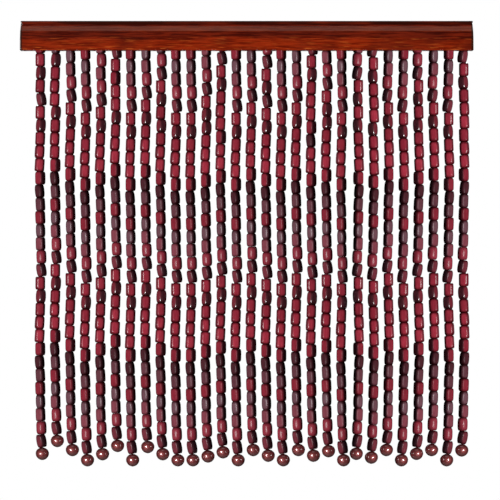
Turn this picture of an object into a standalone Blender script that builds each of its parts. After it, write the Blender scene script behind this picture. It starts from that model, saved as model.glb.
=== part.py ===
"""Wooden bead curtain on its head rail: a moulded rail with a groove along its underside,
four battens that lie end to end in the groove, and the strings of cut wooden beads that
hang from them. A round bead ends each string.

Metres, +Z up. X runs along the rail, the room side is -Y, and the origin is the centre
of the rail's flat back face, which lies against the wall or the door frame.
"""

import math
from collections import namedtuple

import bmesh
import bpy
from mathutils import Matrix, Vector

Level = namedtuple("Level", "height inset")
Seat = namedtuple("Seat", "turn_deg lean_deg shift_mm depth_mm")
Ring = namedtuple("Ring", "centre radius turn lean")

MM = 0.001

# Head rail
RAIL_LENGTH = 0.600
RAIL_HEIGHT = 0.039
RAIL_DEPTH = 0.030
RAIL_BOTTOM = -RAIL_HEIGHT / 2

# Moulding of the rail: how far its front and both ends stand in at each height above the lower edge
RAIL_LEVELS = (
    Level(0.0000, 0.0006),
    Level(0.0006, 0.0000),
    Level(0.0200, 0.0001),
    Level(0.0255, 0.0004),
    Level(0.0320, 0.0010),
    Level(0.0346, 0.0013),
    Level(0.0356, 0.0024),
    Level(0.0366, 0.0024),
    Level(0.0371, 0.0011),
    Level(0.0384, 0.0010),
    Level(0.0390, 0.0016),
)

# Groove along the underside, closed at both ends
GROOVE_WIDTH = 0.017
GROOVE_DEPTH = 0.026
GROOVE_END_WALL = 0.004
GROOVE_CEILING = RAIL_BOTTOM + GROOVE_DEPTH

# Battens pinned up into the groove, from the left, and how many strings each one carries
BATTEN_STRINGS = (7, 7, 7, 8)
BATTEN_HEIGHT = 0.006
BATTEN_SEAT_GAP = 0.0003
BATTEN_OVERHANG = 0.0075
BATTEN_TOP = GROOVE_CEILING - BATTEN_SEAT_GAP
BATTEN_UNDERSIDE = BATTEN_TOP - BATTEN_HEIGHT

# Strings, from the left end. Those of the last batten hang a little apart, as mirror images.
STRING_COUNT = sum(BATTEN_STRINGS)
LEFT_STRINGS = STRING_COUNT - BATTEN_STRINGS[-1]
STRING_PITCH = 0.01995
GROUP_GAP = 0.0218
FIRST_STRING_X = -RAIL_LENGTH / 2 + 0.0268
STRING_Y = -RAIL_DEPTH / 2
CURTAIN_DROP = 0.589
LOWEST_Z = RAIL_HEIGHT / 2 - CURTAIN_DROP

# How much higher than the longest string each one ends, from the left, in millimetres
SHORTFALL_MM = (
    8.5, 25.5, 13.5, 0, 8, 19, 0, 17.5, 8, 0, 0, 5, 10.5, 0, 13.5, 6, 0, 13.5, 6, 12, 0,
    8.5, 3.5, 13.5, 0, 8.5, 13.5, 0, 13,
)

# Cut bead: a three-sided barrel here, with chamfered ends that meet the next bead
BEAD_SIDES = 3
BEAD_PITCH = 0.0174
BEAD_RADIUS = 0.0072
BEAD_END_RADIUS = 0.0050
BEAD_CHAMFER = 0.0028

# Round end bead
BALL_SIDES = 6
BALL_RADIUS = 0.0085
BALL_RING_ANGLES_DEG = (-52, 0, 40)
BALL_TOP = 0.0162
BALL_SHIFT = 0.0027

# Bare string between the top bead and the batten
CORD_RADIUS = 0.0012
CORD_SHOWING = 0.0010
CORD_IN_BATTEN = 0.0030

# How the beads sit on a string, from the lowest up. The run repeats to the top.
SEATS = (
    Seat(60, -9, 1.3, 0.3),
    Seat(60, -2, 1.3, -0.4),
    Seat(10, -2, 0.2, -0.7),
    Seat(12, -2, 0.2, -0.2),
    Seat(4, -2, -0.1, 0.5),
    Seat(8, -3, 0.0, 0.7),
    Seat(66, -5, -0.9, 0.1),
    Seat(12, 0, -0.2, -0.5),
    Seat(-2, 3, -1.1, -0.3),
    Seat(0, 3, -1.1, 0.4),
    Seat(3, 2, -0.3, 0.6),
    Seat(60, 2, 0.6, 0.0),
    Seat(0, 0, -0.2, -0.5),
)


def new_collection(name):
    """Collection of that name, linked to the scene."""
    collection = bpy.data.collections.new(name)
    bpy.context.scene.collection.children.link(collection)
    return collection


def new_material(name, colour, roughness):
    """Lacquered wood of one colour."""
    material = bpy.data.materials.new(name)
    material.use_nodes = True
    shader = material.node_tree.nodes["Principled BSDF"]
    shader.inputs["Base Color"].default_value = (*colour, 1.0)
    shader.inputs["Roughness"].default_value = roughness
    shader.inputs["Metallic"].default_value = 0.0
    return material


def object_from(mesh_data, name, collection, material=None):
    """Object that takes over a bmesh, with its faces pointing out."""
    bmesh.ops.recalc_face_normals(mesh_data, faces=mesh_data.faces)
    mesh = bpy.data.meshes.new(name)
    mesh_data.to_mesh(mesh)
    mesh_data.free()
    if material:
        mesh.materials.append(material)
    made = bpy.data.objects.new(name, mesh)
    collection.objects.link(made)
    return made


def extruded(mesh_data, face):
    """The face's copy at the far end of a new section, still in place."""
    result = bmesh.ops.extrude_face_region(mesh_data, geom=[face, *face.edges, *face.verts])
    return next(item for item in result["geom"] if isinstance(item, bmesh.types.BMFace))


def box(name, low, high, collection, material=None):
    """Plain block between two corners."""
    mesh_data = bmesh.new()
    size = Vector(high) - Vector(low)
    centre = (Vector(high) + Vector(low)) / 2
    bmesh.ops.create_cube(mesh_data, size=1.0, matrix=Matrix.Translation(centre) @ Matrix.Diagonal((*size, 1)))
    return object_from(mesh_data, name, collection, material)


def fit_rail_section(face, level):
    """Brings the corners of a level face to the rail's outline at that level. The back stays flat."""
    half_length = RAIL_LENGTH / 2 - level.inset
    for vertex in face.verts:
        at_back = vertex.co.y > STRING_Y
        vertex.co.x = math.copysign(half_length, vertex.co.x)
        vertex.co.y = 0.0 if at_back else -RAIL_DEPTH + level.inset
        vertex.co.z = RAIL_BOTTOM + level.height


def make_rail(collection, guides, material):
    """Moulded rail: sections raised level by level, then the groove cut from its underside."""
    mesh_data = bmesh.new()
    start = Matrix.Translation((0, STRING_Y, 0)) @ Matrix.Diagonal((RAIL_LENGTH, RAIL_DEPTH, RAIL_HEIGHT, 1))
    bmesh.ops.create_cube(mesh_data, size=1.0, matrix=start)
    mesh_data.faces.ensure_lookup_table()
    lower = min(mesh_data.faces, key=lambda face: face.calc_center_median().z)
    top = max(mesh_data.faces, key=lambda face: face.calc_center_median().z)
    fit_rail_section(lower, RAIL_LEVELS[0])
    fit_rail_section(top, RAIL_LEVELS[1])
    for level in RAIL_LEVELS[2:]:
        top = extruded(mesh_data, top)
        fit_rail_section(top, level)
    rail = object_from(mesh_data, "head_rail", collection, material)

    reach = RAIL_LENGTH / 2 - GROOVE_END_WALL
    low = (-reach, STRING_Y - GROOVE_WIDTH / 2, RAIL_BOTTOM - GROOVE_DEPTH / 2)
    high = (reach, STRING_Y + GROOVE_WIDTH / 2, GROOVE_CEILING)
    groove = box("groove_cutter", low, high, guides)
    groove.hide_render = True
    groove.display_type = "WIRE"
    cut = rail.modifiers.new("groove", "BOOLEAN")
    cut.operation = "DIFFERENCE"
    cut.object = groove


def string_x(index):
    """Where a string hangs along the rail, counted from the left."""
    x = FIRST_STRING_X + index * STRING_PITCH
    if index >= LEFT_STRINGS:
        x += GROUP_GAP - STRING_PITCH
    return x


def ball_rings(centre):
    """Sections of the round end bead, from the lowest up."""
    for angle in map(math.radians, BALL_RING_ANGLES_DEG):
        rise = Vector((0, 0, BALL_RADIUS * math.sin(angle)))
        yield Ring(centre + rise, BALL_RADIUS * math.cos(angle), 0.0, 0.0)


def bead_rings(stack_base, plumb_x, side):
    """Sections of the cut beads, from the lowest up: the end that a bead shares with the one
    under it, then its lower and its upper shoulder."""
    count = math.floor((BATTEN_UNDERSIDE - CORD_SHOWING - stack_base) / BEAD_PITCH)
    for number in range(count):
        seat = SEATS[number % len(SEATS)]
        below = SEATS[(number - 1) % len(SEATS)] if number else seat
        middle = Vector((
            plumb_x + side * seat.shift_mm * MM,
            STRING_Y + seat.depth_mm * MM,
            stack_base + (number + 0.5) * BEAD_PITCH,
        ))
        turn = side * math.radians(seat.turn_deg)
        lean = side * math.radians(seat.lean_deg)
        along = Matrix.Rotation(lean, 3, "Y") @ Vector((0, 0, BEAD_PITCH / 2 - BEAD_CHAMFER))
        joint = Vector((
            plumb_x + side * (seat.shift_mm + below.shift_mm) / 2 * MM,
            STRING_Y + (seat.depth_mm + below.depth_mm) / 2 * MM,
            stack_base + number * BEAD_PITCH,
        ))
        joint_turn = side * math.radians((seat.turn_deg + below.turn_deg) / 2)
        yield Ring(joint, BEAD_END_RADIUS, joint_turn, 0.0)
        yield Ring(middle - along, BEAD_RADIUS, turn, lean)
        yield Ring(middle + along, BEAD_RADIUS, turn, lean)


def root_rings(last_bead):
    """Sections of the bare string, from the top bead's upper end into the batten."""
    bead_end = last_bead.centre.z + BEAD_CHAMFER
    sections = (
        (bead_end, BEAD_END_RADIUS),
        (bead_end, CORD_RADIUS),
        (BATTEN_UNDERSIDE + CORD_IN_BATTEN, CORD_RADIUS),
    )
    for z, radius in sections:
        yield Ring(Vector((last_bead.centre.x, STRING_Y, z)), radius, last_bead.turn, 0.0)


def section_points(ring, sides):
    """Corners of a regular section, one flat side to the room when it isn't turned."""
    tilt = Matrix.Rotation(ring.lean, 3, "Y")
    points = []
    for corner in range(sides):
        angle = -math.pi / 2 + math.pi / sides + ring.turn + corner * 2 * math.pi / sides
        flat = Vector((math.cos(angle), math.sin(angle), 0)) * ring.radius
        points.append(ring.centre + tilt @ flat)
    return points


def bridge(mesh_data, lower, upper):
    """Faces between two loops of points, joined edge to edge."""
    edges = []
    for loop in (lower, upper):
        for first, second in zip(loop, loop[1:] + loop[:1]):
            edges.append(mesh_data.edges.get((first, second)) or mesh_data.edges.new((first, second)))
    bmesh.ops.bridge_loops(mesh_data, edges=edges)


def raise_sections(mesh_data, base, rings):
    """Extrudes the base face up through the rings."""
    for ring in rings:
        base = extruded(mesh_data, base)
        corners = section_points(ring, len(base.verts))
        start = nearest_start(base, corners)
        for vertex, point in zip(base.verts, corners[start:] + corners[:start]):
            vertex.co = point


def nearest_start(face, corners):
    """Which corner the face's first vertex takes, so that the section isn't wrung."""
    def travel(start):
        order = corners[start:] + corners[:start]
        return sum((vertex.co.xy - point.xy).length for vertex, point in zip(face.verts, order))

    return min(range(len(corners)), key=travel)


def add_string(mesh_data, index):
    """One string as a closed shell: the round end bead, the cut beads and the bare top."""
    side = 1 if index < LEFT_STRINGS else -1
    lowest = LOWEST_Z + SHORTFALL_MM[index] * MM
    plumb_x = string_x(index)
    beads = list(bead_rings(lowest + BALL_TOP, plumb_x, side))
    ball_centre = Vector((plumb_x + side * BALL_SHIFT, STRING_Y, lowest + BALL_RADIUS))

    loops = []
    for ring in ball_rings(ball_centre):
        loops.append([mesh_data.verts.new(point) for point in section_points(ring, BALL_SIDES)])
    foot = mesh_data.verts.new(ball_centre - Vector((0, 0, BALL_RADIUS)))
    first_end = [mesh_data.verts.new(point) for point in section_points(beads[0], BEAD_SIDES)]
    for lower, upper in zip(loops, loops[1:] + [first_end]):
        bridge(mesh_data, lower, upper)
    for first, second in zip(loops[0], loops[0][1:] + loops[0][:1]):
        mesh_data.faces.new((first, second, foot))
    base = mesh_data.faces.new(first_end)
    raise_sections(mesh_data, base, beads[1:] + list(root_rings(beads[-1])))


def make_batten(number, first_string, count, collection, guides, material):
    """Batten with the roots of its strings fused into it: one solid."""
    last_string = first_string + count - 1
    half_depth = GROOVE_WIDTH / 2 - BATTEN_SEAT_GAP
    low = (string_x(first_string) - BATTEN_OVERHANG, STRING_Y - half_depth, BATTEN_UNDERSIDE)
    high = (string_x(last_string) + BATTEN_OVERHANG, STRING_Y + half_depth, BATTEN_TOP)
    batten = box(f"string_batten_{number}", low, high, collection, material)

    strung = bmesh.new()
    for index in range(first_string, first_string + count):
        add_string(strung, index)
    strings = object_from(strung, f"strings_{number}", guides)
    strings.hide_render = True
    strings.display_type = "WIRE"
    joined = batten.modifiers.new("strings", "BOOLEAN")
    joined.operation = "UNION"
    joined.object = strings


def main():
    for old in list(bpy.data.objects):
        bpy.data.objects.remove(old)
    curtain = new_collection("bead_curtain")
    guides = new_collection("cutters_and_guides")
    rail_wood = new_material("rail_wood", (0.19, 0.028, 0.010), 0.30)
    bead_wood = new_material("bead_wood", (0.27, 0.025, 0.040), 0.35)
    make_rail(curtain, guides, rail_wood)
    first_string = 0
    for number, count in enumerate(BATTEN_STRINGS, start=1):
        make_batten(number, first_string, count, curtain, guides, bead_wood)
        first_string += count


main()
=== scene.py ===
"""Looks of the wooden bead curtain: cut and lacquered beads on their cords, round end beads,
the battens that carry them and the moulded head rail, with the photograph's camera and light.

Metres, +Z up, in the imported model's frame: X along the rail, the room side is -Y, and the
origin is the centre of the rail's flat back face.
"""

import math
import random
from collections import namedtuple

import bpy
import numpy as np
from mathutils import Matrix, Vector

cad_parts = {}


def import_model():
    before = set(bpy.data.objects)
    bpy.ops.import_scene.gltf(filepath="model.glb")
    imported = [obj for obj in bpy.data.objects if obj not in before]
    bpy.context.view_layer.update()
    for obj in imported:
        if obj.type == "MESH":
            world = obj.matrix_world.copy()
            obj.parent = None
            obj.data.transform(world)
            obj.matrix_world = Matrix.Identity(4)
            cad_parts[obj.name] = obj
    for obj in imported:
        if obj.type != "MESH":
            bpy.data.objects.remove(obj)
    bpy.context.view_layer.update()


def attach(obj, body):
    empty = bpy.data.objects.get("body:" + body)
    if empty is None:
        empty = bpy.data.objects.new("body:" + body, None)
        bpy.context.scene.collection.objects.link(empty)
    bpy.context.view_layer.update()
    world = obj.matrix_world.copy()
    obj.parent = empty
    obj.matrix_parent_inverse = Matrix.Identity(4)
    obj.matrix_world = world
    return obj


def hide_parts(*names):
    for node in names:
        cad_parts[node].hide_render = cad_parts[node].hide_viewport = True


Seat = namedtuple(
    "Seat", "turn_deg lean_deg pitch_deg shift_mm depth_mm cut half_mm tone plum sides grade"
)
Cut = namedtuple("Cut", "squareness belly taper rim_mm")
Lacquer = namedtuple("Lacquer", "specular_level roughness")
Level = namedtuple("Level", "below_top_mm front_mm")
Placed = namedtuple("Placed", "matrix seat shade")
Stain = namedtuple("Stain", "dark light")
Lamp = namedtuple(
    "Lamp", "name azimuth_deg elevation_deg half_width_deg half_height_deg radiance group"
)

MM = 0.001

# How strongly wide faces set the shading, of 100
FLAT_WEIGHT = 60

# Head rail, as in the CAD model
RAIL_LENGTH = 0.600
RAIL_HEIGHT = 0.039
RAIL_DEPTH = 0.030
RAIL_TOP = RAIL_HEIGHT / 2
RAIL_BOTTOM = -RAIL_HEIGHT / 2
GROOVE_WIDTH = 0.017
GROOVE_DEPTH = 0.026
GROOVE_CEILING = RAIL_BOTTOM + GROOVE_DEPTH
GROOVE_END_WALL = 0.004
GROOVE_CORNER = 0.0006
GROOVE_LIP = 0.0003
GROOVE_LIP_HEIGHT = 0.0004

# How far the rail's ends stand in, at each distance below its top edge
END_INSETS_MM = (
    (0.0, 1.6), (0.6, 1.0), (1.9, 1.1), (2.4, 2.4), (3.4, 2.4), (4.4, 1.3), (7.0, 1.0),
    (13.5, 0.4), (19.0, 0.1), (38.4, 0.0), (39.0, 0.6),
)

# Front moulding from the top edge down: cap, quirk, sloping band and flat face
FRONT_LEVELS = (
    Level(0.0, 1.6), Level(0.2, 1.05), Level(0.6, 0.65), Level(1.2, 0.5), Level(3.9, 0.5),
    Level(4.3, 0.8), Level(4.6, 1.5), Level(4.9, 2.0), Level(5.4, 2.27), Level(6.6, 2.28),
    Level(7.2, 2.13), Level(9.5, 1.52), Level(11.9, 0.88), Level(12.8, 0.68), Level(14.0, 0.48),
    Level(22.0, 0.18), Level(30.0, 0.04), Level(37.6, 0.0), Level(38.3, 0.1), Level(38.8, 0.35),
    Level(39.0, 0.7),
)
RAIL_CORNER = 0.0012
BACK_EDGE = 0.0005

# Rounded corners in plan: the back ones' radius against the front ones', and the points on each
BACK_CORNER_SHARE = 0.4
CORNER_POINTS = 6

# Battens in the groove and the strings that each one carries, as in the CAD model
BATTEN_STRINGS = (7, 7, 7, 8)
BATTEN_HEIGHT = 0.006
BATTEN_SEAT_GAP = 0.0003
BATTEN_OVERHANG = 0.0075
BATTEN_TOP = GROOVE_CEILING - BATTEN_SEAT_GAP
BATTEN_UNDERSIDE = BATTEN_TOP - BATTEN_HEIGHT
BATTEN_EDGE = 0.0008
BATTEN_EDGE_BULGE = 0.3
BATTEN_CORNER = 0.001

# Strings, from the left end, and how much higher than the longest one each of them ends
STRING_COUNT = sum(BATTEN_STRINGS)
LEFT_STRINGS = STRING_COUNT - BATTEN_STRINGS[-1]
STRING_PITCH = 0.01995
GROUP_GAP = 0.0218
FIRST_STRING_X = -RAIL_LENGTH / 2 + 0.0268
STRING_Y = -RAIL_DEPTH / 2
CURTAIN_DROP = 0.589
LOWEST_Z = RAIL_TOP - CURTAIN_DROP
SHORTFALL_MM = (
    8.5, 25.5, 13.5, 0, 8, 19, 0, 17.5, 8, 0, 0, 5, 10.5, 0, 13.5, 6, 0, 13.5, 6, 12, 0,
    8.5, 3.5, 13.5, 0, 8.5, 13.5, 0, 13,
)
BEAD_PITCH = 0.0174
CORD_SHOWING = 0.0010

# Cut bead: its sizes, how far painted shade darkens its edges, ends and side faces and painted sheen
# greys the side faces, and how its outline is blended
BEAD_HALF = 0.00866
BEAD_END_RADIUS = 0.0047
HOLE_RADIUS = 0.0012
END_SHADE_FROM = 0.55
SIDE_SHADE = 0.38
SIDE_PAINTED_SHEEN = 0.35
BLEND_POWER = 14
SWELL_POWER = 0.72
DEEPEST_PAINTED_SHADE = 2.0
HOLE_RECESS = 0.0001
SIDE_FACE_FROM = 0.55
SIDE_FACE_BLEND = 0.3
BEAD_LEVELS = (-1.0, -0.93, -0.78, -0.57, -0.3, 0.0, 0.3, 0.57, 0.78, 0.93, 1.0)
QUARTER_ANGLES_DEG = (15, 28, 38, 45, 52, 62, 75)

# Forms that the beads are cut to: how square the section is, the radius of the turned form
# against the half width, how squarely that ends, and the depth at which the painted shade on the edges
# is full
CUTS = {
    "block": Cut(9.0, 1.36, 4.6, 0.8),
    "oval": Cut(9.0, 1.21, 2.7, 0.9),
    "eased_block": Cut(5.5, 1.32, 4.6, 0.9),
    "soft_block": Cut(2.9, 1.30, 4.4, 1.1),
    "soft_oval": Cut(2.7, 1.16, 3.0, 1.1),
    "round": Cut(2.15, 1.10, 2.6, 7.0),
}

# Lacquer in each state of wear, and how far its roughness strays
LACQUER_GRADES = {
    "worn": Lacquer(0.025, 0.18),
    "satin": Lacquer(0.075, 0.20),
    "glossy": Lacquer(0.135, 0.18),
    "wet": Lacquer(0.85, 0.22),
}
ROUGHNESS_SPREAD = 0.04

# How the beads sit on a string, from the lowest up. The run repeats to the top.
# Each bead's grey-pink share is a painted sheen, and its share for the side faces sets the painted
# shade and sheen there.
SEATS = (
    Seat(38, -10, 0, 1.3, 0.3, "oval", 5.65, 0.45, 0.30, 1.6, "satin"),
    Seat(20, -2, -1, 1.3, -0.4, "round", 6.75, 0.75, 0.10, 0.0, "satin"),
    Seat(26, -2, 0, 0.2, -0.7, "block", 5.4, 0.59, 0.45, 1.6, "worn"),
    Seat(26, -2, 1, 0.2, -0.2, "oval", 5.55, 0.41, 1.0, 1.7, "satin"),
    Seat(26, -2, 2, -0.2, 0.5, "eased_block", 5.75, 0.62, 0.0, 0.5, "worn"),
    Seat(25, -3, 0, -0.1, 0.7, "eased_block", 5.45, 0.34, 0.7, 0.5, "worn"),
    Seat(26, -5, -4, -1.0, 0.1, "oval", 5.55, 0.19, 0.5, 0.6, "worn"),
    Seat(36, 0, 0, -0.2, -0.5, "block", 5.45, 0.64, 0.0, 1.4, "worn"),
    Seat(-3, 3, -4, -1.1, -0.3, "soft_block", 6.5, 1.07, 0.0, 1.0, "glossy"),
    Seat(-4, 3, -3, -1.1, 0.4, "soft_oval", 6.6, 1.03, 0.0, 1.3, "glossy"),
    Seat(0, 2, -5, -0.3, 0.6, "soft_block", 6.45, 0.79, 0.0, 0.6, "satin"),
    Seat(48, 2, -11, 0.6, 0.0, "oval", 5.7, 0.49, 0.1, 1.1, "wet"),
    Seat(-4, 0, 0, -0.2, -0.5, "soft_block", 6.45, 0.91, 0.0, 0.5, "glossy"),
)

# Strings whose uppermost beads break the run: their places in it, from the rail down
TOP_SEATS = {
    0: (5, 13, 12, 11),
    1: (4, 12, 11, 10, 9),
    4: (3, 2),
    5: (1, 13, 8, 13),
    8: (4, 2, 1, 13, 12, 11),
    11: (3, 3, 2, 1, 13, 12),
    12: (1, 1, 13, 12, 11, 10, 9, 8),
    15: (2, 1, 13, 12),
    18: (1, 13, 12, 11, 10, 9, 8, 7),
    19: (4, 3, 2, 1, 13, 12),
    21: (3, 2, 1, 13, 12),
    22: (1, 13, 12, 11, 10, 9),
    25: (2, 2, 1, 13, 12, 11),
    28: (2, 1, 13, 12, 11, 10, 9),
}

# Chance differences from bead to bead
RANDOM_SEED = 29
TURN_JITTER_DEG = (-2.5, 2.5)
LEAN_JITTER_DEG = (-0.6, 0.6)
PITCH_JITTER_DEG = (-1.0, 1.0)
TONE_RANGE = (0.92, 1.08)
SIZE_RANGE = (0.985, 1.015)
BALL_TONE_RANGE = (0.9, 1.1)
GRAIN_SHIFT = (-5, 5)

# Round end bead
BALL_RADIUS = 0.0089
BALL_MIDDLE = 0.0084
BALL_LOWER = 0.0090
BALL_UPPER = 0.0077
BALL_SHIFT = 0.0025
BALL_TOP = 0.0162
BALL_SIDES = 32
BALL_ROWS = 18

# Cord: three strands twisted together, with a knot at its lower tip given as height and radius
CORD_RADIUS = 0.0010
CORD_SIDES = 9
CORD_STRANDS = 3
CORD_LOBE = 0.10
CORD_TWIST = 900
CORD_IN_BATTEN = 0.0030
CORD_BELOW_BATTEN = 0.0004
CORD_BEND = 0.004
BALL_CORD_TOP = 0.0150
KNOT_BELOW_BALL = 0.0001
KNOT = ((0.0, 0.0002), (0.0002, 0.0013), (0.0009, 0.0016), (0.0016, CORD_RADIUS))

# Stains, from their dark streaks to their light ones. The beads' grey-pink one is a painted sheen,
# and the rail's one for its sloping band is painted light.
BEAD_RED = Stain((0.30, 0.023, 0.041, 1), (0.42, 0.038, 0.064, 1))
BEAD_PAINTED_SHEEN = Stain((0.28, 0.112, 0.145, 1), (0.40, 0.165, 0.215, 1))
BALL_BROWN = Stain((0.085, 0.009, 0.010, 1), (0.140, 0.018, 0.020, 1))
CORD_RED = Stain((0.030, 0.004, 0.006, 1), (0.085, 0.012, 0.018, 1))
SLAT_BROWN = Stain((0.045, 0.008, 0.004, 1), (0.12, 0.022, 0.010, 1))
RAIL_DARK = Stain((0.052, 0.003, 0.001, 1), (0.190, 0.015, 0.004, 1))
RAIL_SLOPE_PAINTED_LIGHT = Stain((0.125, 0.015, 0.003, 1), (0.205, 0.027, 0.006, 1))
RAIL_BRIGHT = Stain((0.145, 0.008, 0.001, 1), (0.350, 0.028, 0.004, 1))

# Single colours: touches over the stains, those on the beads' edges, the end beads' tops and bottoms,
# the rail's cap and its ends being painted shade, the gloss of the end beads, and the floor
BEAD_RIM_PAINTED_SHADE = (0.030, 0.001, 0.002, 1)
BEAD_INNER_PAINTED_SHADE = (0.060, 0.001, 0.002, 1)
BALL_POLE_PAINTED_SHADE = (0.036, 0.004, 0.004, 1)
RAIL_CLOUD = (0.055, 0.007, 0.004, 1)
RAIL_FLASH = (0.50, 0.092, 0.014, 1)
RAIL_CAP_PAINTED_SHADE = (0.030, 0.0035, 0.0015, 1)
RAIL_END_PAINTED_SHADE = (0.026, 0.010, 0.006, 1)
BALL_GLOSS_TINT = (1.0, 0.31, 0.30, 1)
FLOOR_COLOUR = (0.80, 0.80, 0.79, 1)

# Heights on the rail between which one colour gives way to the next, the sloping band's painted light
# and the cap's painted shade among them
LOWER_FACE = (-0.0080, 0.0000)
SLOPE_FOOT = (0.0050, 0.0068)
SLOPE_HEAD = (0.0117, 0.0128)
CAP_FOOT = (0.0136, 0.0150)
FLASH_FOOT = (-0.0172, -0.0130)
FLASH_HEAD = (-0.0045, 0.0005)
FIGURE_WAVE = 0.022

# Distances from the rail's middle between which painted shade darkens its ends
RAIL_END = (0.2964, 0.2976)

# Camera: the picture is 661 mm wide at the rail's front
CAMERA_PLACE = (0.00436, -8.0, -0.2834)
VIEW_WIDTH = 0.66104
SENSOR_WIDTH = 36.0

# Surroundings: how high the rail's middle hangs, the floor's half sizes, and the light from all round
HANGING_HEIGHT = 2.0
FLOOR_CORNER = (1.6, 1.0)
FILL_FROM_ALL_ROUND = 0.012

# Lamps stand at this distance from the curtain's middle
LIGHT_DISTANCE = 8.0
CURTAIN_CENTRE = Vector((0.0, STRING_Y, -0.275))

# Lamps for the left strings. The right strings have the same ones from the other side.
SIDE_LAMPS = (
    Lamp("key", 34, -3, 8, 8, 52, "strings"),
    Lamp("broad", 54, 0, 8, 16, 0.7, "strings"),
    Lamp("end_key", 31, -4, 8, 8, 48, "end_beads"),
    Lamp("end_fill", 12, -22, 8, 8, 2, "end_beads"),
    Lamp("end_glint", -52, 0, 5, 5, 13, "end_beads"),
    Lamp("end_back", 180, 4, 13, 13, 2, "end_beads"),
)

# Lamps for the rail alone, for all strings, and for everything
SHARED_LAMPS = (
    Lamp("rail_strip", 0, 29, 20, 5, 1.25, "rail"),
    Lamp("left_rail_end", 86, 28, 8, 8, 10, "rail"),
    Lamp("right_rail_end", -86, 28, 8, 8, 10, "rail"),
    Lamp("rail_back", 180, -25, 13, 13, 6, "rail"),
    Lamp("strings_back", 180, 28, 13, 13, 13, "all_strings"),
    Lamp("overhead", 0, 88, 20, 20, 0.5, None),
)


def new_collection(name):
    """Collection of that name, linked to the scene."""
    collection = bpy.data.collections.new(name)
    bpy.context.scene.collection.children.link(collection)
    return collection


def object_from(name, vertices, faces, collection, material, smooth=True):
    """Mesh object from points and faces."""
    mesh = bpy.data.meshes.new(name)
    mesh.from_pydata([tuple(point) for point in vertices], [], faces)
    mesh.validate()
    mesh.materials.append(material)
    mesh.polygons.foreach_set("use_smooth", [smooth] * len(mesh.polygons))
    mesh.update()
    made = bpy.data.objects.new(name, mesh)
    collection.objects.link(made)
    return made


def add_values(mesh, name, values):
    """One number at each vertex, for the material to read."""
    attribute = mesh.attributes.new(name, "FLOAT", "POINT")
    attribute.data.foreach_set("value", np.asarray(values, np.float32))


def add_vectors(mesh, name, vectors):
    """One vector at each vertex, for the material to read."""
    attribute = mesh.attributes.new(name, "FLOAT_VECTOR", "POINT")
    attribute.data.foreach_set("vector", np.asarray(vectors, np.float32).ravel())


def numbered_loops(rows, count, first=0):
    """Corner numbers of each loop of a mesh whose points are listed loop by loop."""
    return [range(first + row * count, first + (row + 1) * count) for row in range(rows)]


def bands(loops):
    """Faces between each loop of corners and the next."""
    faces = []
    for lower, upper in zip(loops, loops[1:]):
        for column in range(len(lower)):
            after = (column + 1) % len(lower)
            faces.append((lower[column], lower[after], upper[after], upper[column]))
    return faces


def closed_shell(loops):
    """Bands between the loops, and a cap over the first and the last."""
    return [*bands(loops), tuple(reversed(loops[0])), tuple(loops[-1])]


def weighted_normals(made):
    """Lets the wide flats keep their own normals, so that they read as flat."""
    modifier = made.modifiers.new("flat_facets", "WEIGHTED_NORMAL")
    modifier.mode = "FACE_AREA"
    modifier.weight = FLAT_WEIGHT


# Materials


def node(tree, kind, **values):
    """Node of that kind with its properties set."""
    made = tree.nodes.new(kind)
    for name, value in values.items():
        setattr(made, name, value)
    return made


def mix_colour(tree, factor, first, second, blend="MIX"):
    """Colour output between two colours. The factor and each colour is a socket or a value."""
    mix = node(tree, "ShaderNodeMix", data_type="RGBA", blend_type=blend)
    for socket, value in zip((mix.inputs[0], mix.inputs[6], mix.inputs[7]), (factor, first, second)):
        if isinstance(value, bpy.types.NodeSocket):
            tree.links.new(value, socket)
        else:
            socket.default_value = value
    return mix.outputs[2]


def math_node(tree, operation, first, second=0.0):
    """Result of an operation on one or two numbers, each a socket or a value."""
    made = node(tree, "ShaderNodeMath", operation=operation)
    for socket, value in zip(made.inputs, (first, second)):
        if isinstance(value, bpy.types.NodeSocket):
            tree.links.new(value, socket)
        else:
            socket.default_value = value
    return made.outputs[0]


def map_range(tree, value, low, high, to_low=0.0, to_high=1.0):
    """Value taken smoothly from one range to another, and no further."""
    made = node(tree, "ShaderNodeMapRange", interpolation_type="SMOOTHSTEP", clamp=True)
    tree.links.new(value, made.inputs[0])
    for socket, bound in zip(made.inputs[1:5], (low, high, to_low, to_high)):
        socket.default_value = bound
    return made.outputs[0]


def stained(tree, pattern, stain):
    """Colour between a stain's dark and light streaks."""
    return mix_colour(tree, pattern, stain.dark, stain.light)


def grain_noise(tree, vector, scale, detail, roughness=0.55):
    """Noise in coordinates that are scaled on each axis."""
    scaled = node(tree, "ShaderNodeMapping")
    scaled.inputs["Scale"].default_value = scale
    tree.links.new(vector, scaled.inputs["Vector"])
    made = node(tree, "ShaderNodeTexNoise")
    made.inputs["Scale"].default_value = 1.0
    made.inputs["Detail"].default_value = detail
    made.inputs["Roughness"].default_value = roughness
    tree.links.new(scaled.outputs[0], made.inputs["Vector"])
    return made.outputs[0]


def object_place(tree):
    """Coordinates in the object's own frame, which is the model's."""
    return node(tree, "ShaderNodeTexCoord").outputs["Object"]


def attribute(tree, name, output="Fac"):
    """Value or vector stored at the vertices."""
    made = node(tree, "ShaderNodeAttribute", attribute_name=name)
    return made.outputs[output]


def bump(tree, height, distance, strength):
    """Normal output from a height."""
    made = node(tree, "ShaderNodeBump")
    made.inputs["Strength"].default_value = strength
    made.inputs["Distance"].default_value = distance
    tree.links.new(height, made.inputs["Height"])
    return made.outputs[0]


def start_material(name, roughness, coat=0.0, coat_roughness=0.1):
    """Material with its shader's constants set, and its node tree and shader."""
    material = bpy.data.materials.new(name)
    material.use_nodes = True
    tree = material.node_tree
    shader = tree.nodes["Principled BSDF"]
    shader.inputs["Roughness"].default_value = roughness
    shader.inputs["Coat Weight"].default_value = coat
    shader.inputs["Coat Roughness"].default_value = coat_roughness
    return material, tree, shader


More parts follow.
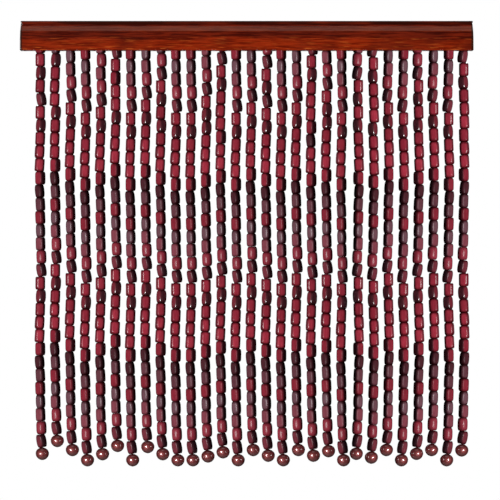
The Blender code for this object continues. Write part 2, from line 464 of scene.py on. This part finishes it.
def bead_lacquer(grade):
    """Wine-red stained wood under lacquer, grain along the bead, painted shade on the edges, ends, hole
    and side faces, and a grey-pink painted sheen.
    """
    lacquer = LACQUER_GRADES[grade]
    material, tree, shader = start_material(f"{grade}_bead_lacquer", lacquer.roughness)
    shader.inputs["Specular IOR Level"].default_value = lacquer.specular_level
    place = attribute(tree, "grain", "Vector")
    fine = grain_noise(tree, place, (900, 900, 110), 4.0, 0.6)
    broad = grain_noise(tree, place, (160, 160, 60), 2.0)
    streak = map_range(tree, fine, 0.3, 0.7)
    red = stained(tree, streak, BEAD_RED)
    # Grey-pink painted sheen, mixed in by bead and on the side faces
    plum = stained(tree, streak, BEAD_PAINTED_SHEEN)
    wood = mix_colour(tree, attribute(tree, "plum"), red, plum)
    # Painted shade darkens the wood towards the edges, the ends and the hole
    waver = map_range(tree, broad, 0.3, 0.7, -0.12, 0.12)
    rim = math_node(tree, "ADD", attribute(tree, "rim"), waver)
    wood = mix_colour(tree, map_range(tree, rim, 0.15, 1.1, 0.0, 0.55), wood, BEAD_RIM_PAINTED_SHADE)
    wood = mix_colour(tree, map_range(tree, rim, 1.0, 1.9, 0.0, 0.75), wood, BEAD_INNER_PAINTED_SHADE)
    # The tone is each bead's own, darkened on its side faces by painted shade
    tone = node(tree, "ShaderNodeCombineColor")
    for socket in tone.inputs:
        tree.links.new(attribute(tree, "tone"), socket)
    wood = mix_colour(tree, 1.0, wood, tone.outputs[0], "MULTIPLY")
    tree.links.new(wood, shader.inputs["Base Color"])
    smoother = lacquer.roughness - ROUGHNESS_SPREAD
    rougher = lacquer.roughness + ROUGHNESS_SPREAD
    roughness = map_range(tree, fine, 0.2, 0.8, smoother, rougher)
    tree.links.new(roughness, shader.inputs["Roughness"])
    tree.links.new(bump(tree, fine, 0.00003, 0.5), shader.inputs["Normal"])
    return material


def ball_lacquer():
    """Copper-brown glossy lacquer of the round end beads, darkened towards top and bottom by painted
    shade.
    """
    material, tree, shader = start_material("ball_lacquer", 0.56, 1.0, 0.09)
    shader.inputs["Coat IOR"].default_value = 2.0
    shader.inputs["IOR"].default_value = 2.0
    shader.inputs["Specular IOR Level"].default_value = 1.0
    shader.inputs["Specular Tint"].default_value = BALL_GLOSS_TINT
    place = attribute(tree, "grain", "Vector")
    fine = grain_noise(tree, place, (420, 420, 70), 3.0, 0.5)
    brown = stained(tree, map_range(tree, fine, 0.3, 0.7), BALL_BROWN)
    # Painted shade darkens the end beads towards top and bottom
    painted_pole_shade = map_range(tree, attribute(tree, "rim"), 0.35, 0.9)
    brown = mix_colour(tree, painted_pole_shade, brown, BALL_POLE_PAINTED_SHADE)
    tree.links.new(brown, shader.inputs["Base Color"])
    tree.links.new(bump(tree, fine, 0.00001, 0.4), shader.inputs["Normal"])
    return material


def cord_material():
    """Dark waxed cotton cord."""
    material, tree, shader = start_material("waxed_cord", 0.6)
    fibre = grain_noise(tree, object_place(tree), (4000, 4000, 900), 2.0)
    tree.links.new(stained(tree, fibre, CORD_RED), shader.inputs["Base Color"])
    tree.links.new(bump(tree, fibre, 0.0001, 0.7), shader.inputs["Normal"])
    return material


def batten_material():
    """Plain stained slat in the rail's groove."""
    material, tree, shader = start_material("stained_slat", 0.5)
    grain = grain_noise(tree, object_place(tree), (25, 500, 500), 4.0, 0.6)
    colour = stained(tree, map_range(tree, grain, 0.3, 0.7), SLAT_BROWN)
    tree.links.new(colour, shader.inputs["Base Color"])
    tree.links.new(bump(tree, grain, 0.0001, 0.6), shader.inputs["Normal"])
    return material


def rail_lacquer():
    """Glossy mahogany with streaks along the rail: painted shade on the cap, painted light on the
    sloping band, dark upper face, orange-red lower face with bright flashes, and painted shade at the
    ends."""
    material, tree, shader = start_material("rail_lacquer", 0.16, 0.0, 0.12)
    shader.inputs["Specular IOR Level"].default_value = 0.3
    place = object_place(tree)
    streaks = grain_noise(tree, place, (34, 420, 560), 4.0, 0.6)
    figure = grain_noise(tree, place, (9, 60, 70), 3.0, 0.5)
    clouds = grain_noise(tree, place, (22, 40, 40), 2.0, 0.5)
    flashes = grain_noise(tree, place, (42, 300, 640), 2.0, 0.5)
    axes = node(tree, "ShaderNodeSeparateXYZ")
    tree.links.new(place, axes.inputs[0])
    along, _, height = axes.outputs

    streak = map_range(tree, streaks, 0.36, 0.64)
    bright_streak = map_range(tree, streaks, 0.34, 0.68)
    # Painted light: the sloping band is lighter where it faces up to the light
    slope_foot = map_range(tree, height, *SLOPE_FOOT)
    slope_head = map_range(tree, height, *SLOPE_HEAD, 1.0, 0.0)
    painted_slope_light = math_node(tree, "MULTIPLY", slope_foot, slope_head)
    upper = mix_colour(tree, painted_slope_light, stained(tree, streak, RAIL_DARK), stained(tree, streak, RAIL_SLOPE_PAINTED_LIGHT))
    wave = math_node(tree, "MULTIPLY", math_node(tree, "SUBTRACT", figure, 0.5), FIGURE_WAVE)
    wavy_height = math_node(tree, "ADD", height, wave)
    lower = map_range(tree, wavy_height, *LOWER_FACE, 1.0, 0.0)
    wood = mix_colour(tree, lower, upper, stained(tree, bright_streak, RAIL_BRIGHT))
    wood = mix_colour(tree, map_range(tree, clouds, 0.35, 0.75, 0.0, 0.45), wood, RAIL_CLOUD)

    flash = map_range(tree, flashes, 0.55, 0.69)
    flash = math_node(tree, "MULTIPLY", flash, map_range(tree, height, *FLASH_FOOT, 1.0, 0.40))
    flash = math_node(tree, "MULTIPLY", flash, map_range(tree, height, *FLASH_HEAD, 1.0, 0.0))
    wood = mix_colour(tree, flash, wood, RAIL_FLASH)

    # Painted shade darkens the cap, in patches
    painted_cap_shade_patches = map_range(tree, figure, 0.38, 0.62, 0.05, 0.95)
    cap = math_node(tree, "MULTIPLY", map_range(tree, height, *CAP_FOOT), painted_cap_shade_patches)
    wood = mix_colour(tree, cap, wood, RAIL_CAP_PAINTED_SHADE)

    # Painted shade darkens the rail's ends
    from_middle = math_node(tree, "ABSOLUTE", along)
    painted_end_shade = map_range(tree, from_middle, *RAIL_END, 0.0, 0.80)
    wood = mix_colour(tree, painted_end_shade, wood, RAIL_END_PAINTED_SHADE)
    tree.links.new(wood, shader.inputs["Base Color"])
    tree.links.new(bump(tree, streaks, 0.00008, 0.5), shader.inputs["Normal"])
    return material


def floor_material():
    """Plain pale floor."""
    material, _, shader = start_material("pale_floor", 0.8)
    shader.inputs["Base Color"].default_value = FLOOR_COLOUR
    return material


# Head rail


def end_inset(below_top_mm):
    """How far the rail's ends stand in at that distance below the top edge."""
    depths, insets = zip(*END_INSETS_MM)
    return float(np.interp(below_top_mm, depths, insets)) * MM


def outline(half_length, front, back, corner):
    """Rounded rectangle in plan, counter-clockwise from the front right corner."""
    points = []
    for x_side, y_side, start in ((1, -1, -90), (1, 1, 0), (-1, 1, 90), (-1, -1, 180)):
        radius = corner if y_side < 0 else corner * BACK_CORNER_SHARE
        centre_x = x_side * (half_length - radius)
        centre_y = front + radius if y_side < 0 else back - radius
        for step in range(CORNER_POINTS):
            angle = math.radians(start + step * 90 / (CORNER_POINTS - 1))
            points.append((centre_x + radius * math.cos(angle), centre_y + radius * math.sin(angle)))
    return points


def groove_outline(spread):
    """The groove in plan, wider by the spread on each side."""
    front = STRING_Y - GROOVE_WIDTH / 2 - spread
    back = STRING_Y + GROOVE_WIDTH / 2 + spread
    return outline(RAIL_LENGTH / 2 - GROOVE_END_WALL + spread, front, back, GROOVE_CORNER)


def make_rail(collection, material):
    """Moulded rail with the groove that the battens are pinned into."""
    rings = [
        [(x, y, GROOVE_CEILING) for x, y in groove_outline(0.0)],
        [(x, y, RAIL_BOTTOM + GROOVE_LIP_HEIGHT) for x, y in groove_outline(0.0)],
        [(x, y, RAIL_BOTTOM) for x, y in groove_outline(GROOVE_LIP)],
    ]
    for level in reversed(FRONT_LEVELS):
        z = RAIL_TOP - level.below_top_mm * MM
        half_length = RAIL_LENGTH / 2 - end_inset(level.below_top_mm)
        front = -RAIL_DEPTH + level.front_mm * MM
        back = -BACK_EDGE if level in (FRONT_LEVELS[0], FRONT_LEVELS[-1]) else 0.0
        rings.append([(x, y, z) for x, y in outline(half_length, front, back, RAIL_CORNER)])
    vertices = [point for ring in rings for point in ring]
    faces = closed_shell(numbered_loops(len(rings), len(rings[0])))
    rail = object_from("head_rail_moulding", vertices, faces, collection, material)
    weighted_normals(rail)
    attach(rail, "root")
    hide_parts("head_rail")
    return rail


# Beads


def string_x(index):
    """Where a string hangs along the rail, counted from the left."""
    x = FIRST_STRING_X + index * STRING_PITCH
    if index >= LEFT_STRINGS:
        x += GROUP_GAP - STRING_PITCH
    return x


def side_of(index):
    """1 for a string of the left group, -1 for one of the right group, a mirror image."""
    return 1 if index < LEFT_STRINGS else -1


def lowest_of(index):
    """Height of a string's lowest point."""
    return LOWEST_Z + SHORTFALL_MM[index] * MM


def grain_shift(rng):
    """A place of its own in the grain for each bead."""
    return np.array([rng.uniform(*GRAIN_SHIFT) for _ in range(3)])


def ring_angles():
    """Angles round the bead, closer together at its four corners."""
    return [quarter * 90 + angle for quarter in range(4) for angle in QUARTER_ANGLES_DEG]


def bead_radius(angle, share, half, cut):
    """Distance from the axis to the surface: a rounded square bar with its ends turned off."""
    turn = math.radians(angle)
    power = cut.squareness
    square = half / (abs(math.cos(turn)) ** power + abs(math.sin(turn)) ** power) ** (1 / power)
    swell = max(1 - abs(share) ** cut.taper, 0.0) ** SWELL_POWER
    barrel = BEAD_END_RADIUS + (cut.belly * half - BEAD_END_RADIUS) * swell
    return (square ** -BLEND_POWER + barrel ** -BLEND_POWER) ** (-1 / BLEND_POWER)


def sideways(angle):
    """How far a direction round the bead points to its two side faces, where painted shade darkens the
    wood and painted sheen greys it.
    """
    return np.clip((abs(math.cos(math.radians(angle))) - SIDE_FACE_FROM) / SIDE_FACE_BLEND, 0.0, 1.0)


def bead_form(half, cut):
    """Points of a bead about its own centre, how deep each lies in the painted shade of edges, ends and
    hole, and how far on a side face.
    """
    angles = ring_angles()
    points = []
    painted_shade_depths = []
    sides = []
    for share in BEAD_LEVELS:
        for angle in angles:
            radius = bead_radius(angle, share, half, cut)
            turn = math.radians(angle)
            points.append((radius * math.cos(turn), radius * math.sin(turn), share * BEAD_HALF))
            # Painted shade: deepest at the corners, towards the ends and in the hole
            fold = math.radians(abs((angle + 45) % 90 - 45))
            rim = (half - radius * math.cos(fold)) / (cut.rim_mm * MM)
            near_end = max((abs(share) - END_SHADE_FROM) / (1 - END_SHADE_FROM), 0.0)
            painted_shade_depths.append(min(rim + near_end, DEEPEST_PAINTED_SHADE))
            sides.append(sideways(angle))
    for share in (-1, 1):
        for angle in map(math.radians, angles):
            inner = (HOLE_RADIUS * math.cos(angle), HOLE_RADIUS * math.sin(angle))
            points.append((*inner, share * (BEAD_HALF - HOLE_RECESS)))
            painted_shade_depths.append(DEEPEST_PAINTED_SHADE)
            sides.append(0.0)
    return np.array(points), np.array(painted_shade_depths), np.array(sides)


def bead_faces():
    """Faces of one bead: its side, both ends and the hole through it."""
    *side, low_hole, high_hole = numbered_loops(len(BEAD_LEVELS) + 2, len(ring_angles()))
    return bands([*side, high_hole, low_hole, side[0]])


def seats_of(index):
    """Height and seat of each cut bead of a string, from the lowest up."""
    stack_base = lowest_of(index) + BALL_TOP
    count = math.floor((BATTEN_UNDERSIDE - CORD_SHOWING - stack_base) / BEAD_PITCH)
    run = [SEATS[number % len(SEATS)] for number in range(count)]
    for below_top, place in enumerate(TOP_SEATS.get(index, ())):
        run[count - 1 - below_top] = SEATS[place - 1]
    return [(stack_base + (number + 0.5) * BEAD_PITCH, seat) for number, seat in enumerate(run)]


def placed_beads(index, rng):
    """Where each cut bead of a string sits, from the lowest up."""
    side = side_of(index)
    for middle, seat in seats_of(index):
        centre = Vector((
            string_x(index) + side * seat.shift_mm * MM,
            STRING_Y + seat.depth_mm * MM,
            middle,
        ))
        turn = side * math.radians(-seat.turn_deg + rng.uniform(*TURN_JITTER_DEG))
        lean = side * math.radians(seat.lean_deg + rng.uniform(*LEAN_JITTER_DEG))
        pitch = math.radians(seat.pitch_deg + rng.uniform(*PITCH_JITTER_DEG))
        matrix = (
            Matrix.Translation(centre)
            @ Matrix.Rotation(lean, 4, "Y")
            @ Matrix.Rotation(pitch, 4, "X")
            @ Matrix.Rotation(turn, 4, "Z")
        )
        yield Placed(matrix, seat, seat.tone * rng.uniform(*TONE_RANGE))


def join_forms(name, forms, collection, material):
    """One mesh of many closed forms, each with its points, faces and vertex values."""
    vertices = []
    faces = []
    values = {"tone": [], "plum": [], "rim": []}
    grain = []
    offset = 0
    for points, form_faces, form_values, grain_points in forms:
        vertices.append(points)
        faces.extend(tuple(corner + offset for corner in face) for face in form_faces)
        grain.append(grain_points)
        for key, column in values.items():
            column.append(np.broadcast_to(form_values[key], len(points)))
        offset += len(points)
    made = object_from(name, np.concatenate(vertices), faces, collection, material)
    for key, column in values.items():
        add_values(made.data, key, np.concatenate(column))
    add_vectors(made.data, "grain", np.concatenate(grain))
    return made


def make_beads(number, indices, collection, lacquers, rng):
    """The cut beads of one batten's strings, one piece for each grade of lacquer."""
    faces = bead_faces()
    forms = {grade: [] for grade in lacquers}
    for index in indices:
        for bead in placed_beads(index, rng):
            half = bead.seat.half_mm * MM * rng.uniform(*SIZE_RANGE)
            points, painted_shade_depths, sides = bead_form(half, CUTS[bead.seat.cut])
            sides = sides * bead.seat.sides
            matrix = np.array(bead.matrix)
            placed = points @ matrix[:3, :3].T + matrix[:3, 3]
            shift = grain_shift(rng)
            # Painted shade darkens the side faces' tone; painted sheen greys the side faces and some
            # whole beads
            values = {
                "tone": bead.shade * (1 - SIDE_SHADE * sides),
                "plum": np.minimum(bead.seat.plum + SIDE_PAINTED_SHEEN * sides, 1.0),
                "rim": painted_shade_depths,
            }
            forms[bead.seat.grade].append((placed, faces, values, points + shift))
    made = []
    for grade, material in lacquers.items():
        made.append(join_forms(f"{grade}_beads_{number}", forms[grade], collection, material))
        weighted_normals(made[-1])
    return made


def ball_form():
    """A round bead, a little flatter above: its points, how near each is to an end for the painted
    shade there, its faces.
    """
    profile = []
    for row in range(BALL_ROWS + 1):
        angle = math.radians(-90 + 180 * row / BALL_ROWS)
        half_height = BALL_LOWER if angle < 0 else BALL_UPPER
        profile.append((max(BALL_RADIUS * math.cos(angle), HOLE_RADIUS), half_height * math.sin(angle)))
    points = []
    painted_shade_depths = []
    for radius, z in profile:
        for column in range(BALL_SIDES):
            angle = 2 * math.pi * column / BALL_SIDES
            points.append((radius * math.cos(angle), radius * math.sin(angle), z))
            painted_shade_depths.append(abs(z) / BALL_LOWER)
    loops = numbered_loops(len(profile), BALL_SIDES)
    return np.array(points), np.array(painted_shade_depths), bands([*loops, loops[0]])


def make_balls(number, indices, collection, material, rng):
    """The round end beads of one batten's strings."""
    points, painted_shade_depths, faces = ball_form()
    forms = []
    for index in indices:
        x = string_x(index) + side_of(index) * BALL_SHIFT
        centre = np.array([x, STRING_Y, lowest_of(index) + BALL_MIDDLE])
        turn = np.array(Matrix.Rotation(rng.uniform(0, math.tau), 3, "Z"))
        shift = grain_shift(rng)
        values = {"tone": rng.uniform(*BALL_TONE_RANGE), "plum": 0.0, "rim": painted_shade_depths}
        forms.append((points @ turn.T + centre, faces, values, points + shift))
    return join_forms(f"end_beads_{number}", forms, collection, material)


# Cords and battens


def cord_path(index):
    """Side place, height and radius of a string's cord, from the knot's tip up into the batten."""
    plumb = string_x(index)
    side = side_of(index)
    ball_x = plumb + side * BALL_SHIFT
    lowest = lowest_of(index)
    tip = lowest + BALL_MIDDLE - BALL_LOWER - KNOT_BELOW_BALL
    path = [(ball_x, tip + rise, radius) for rise, radius in KNOT]
    path.append((ball_x, lowest + BALL_CORD_TOP, CORD_RADIUS))
    for middle, seat in seats_of(index):
        x = plumb + side * seat.shift_mm * MM
        path.append((x, middle - CORD_BEND, CORD_RADIUS))
        path.append((x, middle + CORD_BEND, CORD_RADIUS))
    path.append((plumb, BATTEN_UNDERSIDE - CORD_BELOW_BATTEN, CORD_RADIUS))
    path.append((plumb, BATTEN_UNDERSIDE + CORD_IN_BATTEN, CORD_RADIUS))
    return path


def make_cords(number, indices, collection, material):
    """Twisted cords through the beads, knotted under the end bead and let into the batten."""
    vertices = []
    faces = []
    for index in indices:
        path = cord_path(index)
        faces += closed_shell(numbered_loops(len(path), CORD_SIDES, len(vertices)))
        for x, z, radius in path:
            for column in range(CORD_SIDES):
                around = math.tau * column / CORD_SIDES
                angle = around + z * CORD_TWIST
                lobed = radius * (1 + CORD_LOBE * math.cos(CORD_STRANDS * around))
                vertices.append((x + lobed * math.cos(angle), STRING_Y + lobed * math.sin(angle), z))
    return object_from(f"cords_{number}", vertices, faces, collection, material)


def make_batten(number, indices, collection, material):
    """Slat with eased edges that the cords are let into."""
    half_depth = GROOVE_WIDTH / 2 - BATTEN_SEAT_GAP
    left = string_x(indices[0]) - BATTEN_OVERHANG
    right = string_x(indices[-1]) + BATTEN_OVERHANG
    centre = (left + right) / 2
    half_length = (right - left) / 2
    bulge = BATTEN_EDGE * BATTEN_EDGE_BULGE
    levels = (
        (BATTEN_UNDERSIDE, BATTEN_EDGE),
        (BATTEN_UNDERSIDE + bulge, bulge),
        (BATTEN_UNDERSIDE + BATTEN_EDGE, 0.0),
        (BATTEN_TOP - BATTEN_EDGE, 0.0),
        (BATTEN_TOP - bulge, bulge),
        (BATTEN_TOP, BATTEN_EDGE),
    )
    vertices = []
    for z, inset in levels:
        front = STRING_Y - half_depth + inset
        back = STRING_Y + half_depth - inset
        plan = outline(half_length - inset, front, back, BATTEN_CORNER)
        vertices += [(x + centre, y, z) for x, y in plan]
    faces = closed_shell(numbered_loops(len(levels), len(plan)))
    made = object_from(f"batten_{number}", vertices, faces, collection, material)
    weighted_normals(made)
    return made


# Camera and light


def direction(azimuth_deg, elevation_deg):
    """Unit vector from the curtain: azimuth 0 is the camera's side, positive to the left."""
    azimuth = math.radians(azimuth_deg)
    elevation = math.radians(elevation_deg)
    return Vector((
        -math.sin(azimuth) * math.cos(elevation),
        -math.cos(azimuth) * math.cos(elevation),
        math.sin(elevation),
    ))


def add_light(lamp, receivers, prefix="", mirror=1):
    """Soft light far out in one direction, its size given as seen from the curtain."""
    name = prefix + lamp.name
    data = bpy.data.lights.new(name, "AREA")
    is_round = lamp.half_width_deg == lamp.half_height_deg
    data.shape = "ELLIPSE" if is_round else "RECTANGLE"
    data.size = 2 * LIGHT_DISTANCE * math.tan(math.radians(lamp.half_width_deg))
    data.size_y = 2 * LIGHT_DISTANCE * math.tan(math.radians(lamp.half_height_deg))
    area = data.size * data.size_y * (math.pi / 4 if is_round else 1)
    data.energy = lamp.radiance * math.pi * area
    light = bpy.data.objects.new(name, data)
    toward = direction(lamp.azimuth_deg * mirror, lamp.elevation_deg)
    light.location = CURTAIN_CENTRE + toward * LIGHT_DISTANCE
    light.rotation_euler = (-toward).to_track_quat("-Z", "Y").to_euler()
    light.visible_camera = False
    bpy.context.scene.collection.objects.link(light)
    if receivers:
        light.light_linking.receiver_collection = receivers


def add_camera():
    """Level camera with a long lens, at the photograph's framing."""
    data = bpy.data.cameras.new("photo_camera")
    data.sensor_width = SENSOR_WIDTH
    distance = -CAMERA_PLACE[1] - RAIL_DEPTH
    data.lens = SENSOR_WIDTH * distance / VIEW_WIDTH
    data.clip_end = 100
    camera = bpy.data.objects.new("photo_camera", data)
    camera.location = CAMERA_PLACE
    camera.rotation_euler = (math.radians(90), 0, 0)
    bpy.context.scene.collection.objects.link(camera)
    bpy.context.scene.camera = camera


def set_world():
    """White behind the curtain, and dim light from all round."""
    world = bpy.data.worlds.new("studio")
    world.use_nodes = True
    tree = world.node_tree
    background = tree.nodes["Background"]
    light_path = tree.nodes.new("ShaderNodeLightPath")
    strength = node(tree, "ShaderNodeMapRange")
    tree.links.new(light_path.outputs["Is Camera Ray"], strength.inputs[0])
    strength.inputs[3].default_value = FILL_FROM_ALL_ROUND
    strength.inputs[4].default_value = 1.0
    tree.links.new(strength.outputs[0], background.inputs["Strength"])
    background.inputs["Color"].default_value = (1, 1, 1, 1)
    bpy.context.scene.world = world
    bpy.context.scene.view_settings.view_transform = "Standard"


def add_floor(material, collection):
    """Pale floor under the curtain."""
    x, y = FLOOR_CORNER
    z = -HANGING_HEIGHT
    corners = [(-x, -y, z), (x, -y, z), (x, y, z), (-x, y, z)]
    floor = object_from("studio_floor", corners, [(0, 1, 2, 3)], collection, material, smooth=False)


def main():
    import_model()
    left_group = new_collection("left_strings_and_rail")
    right_group = new_collection("right_strings")
    all_strings = new_collection("all_strings")
    left_end_beads = new_collection("left_end_beads")
    right_end_beads = new_collection("right_end_beads")
    rail_group = new_collection("rail_alone")
    set_world()
    add_camera()
    add_floor(floor_material(), left_group)

    left_receivers = {"strings": left_group, "end_beads": left_end_beads}
    right_receivers = {"strings": right_group, "end_beads": right_end_beads}
    for lamp in SIDE_LAMPS:
        add_light(lamp, left_receivers[lamp.group], "left_")
    for lamp in SIDE_LAMPS:
        add_light(lamp, right_receivers[lamp.group], "right_", mirror=-1)
    shared_receivers = {"rail": rail_group, "all_strings": all_strings}
    for lamp in SHARED_LAMPS:
        add_light(lamp, shared_receivers.get(lamp.group))

    rail = make_rail(rail_group, rail_lacquer())
    left_group.objects.link(rail)
    lacquers = {grade: bead_lacquer(grade) for grade in LACQUER_GRADES}
    ball_wood = ball_lacquer()
    cotton = cord_material()
    slat = batten_material()
    rng = random.Random(RANDOM_SEED)
    first = 0
    for number, count in enumerate(BATTEN_STRINGS, start=1):
        indices = range(first, first + count)
        is_left = indices[-1] < LEFT_STRINGS
        group = left_group if is_left else right_group
        end_group = left_end_beads if is_left else right_end_beads
        pieces = (
            *make_beads(number, indices, group, lacquers, rng),
            make_balls(number, indices, end_group, ball_wood, rng),
            make_cords(number, indices, group, cotton),
            make_batten(number, indices, group, slat),
        )
        for piece in pieces:
            if not piece.name.startswith("end_beads"):
                all_strings.objects.link(piece)
            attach(piece, "root")
            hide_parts(f"string_batten_{number}")
        first += count


main()
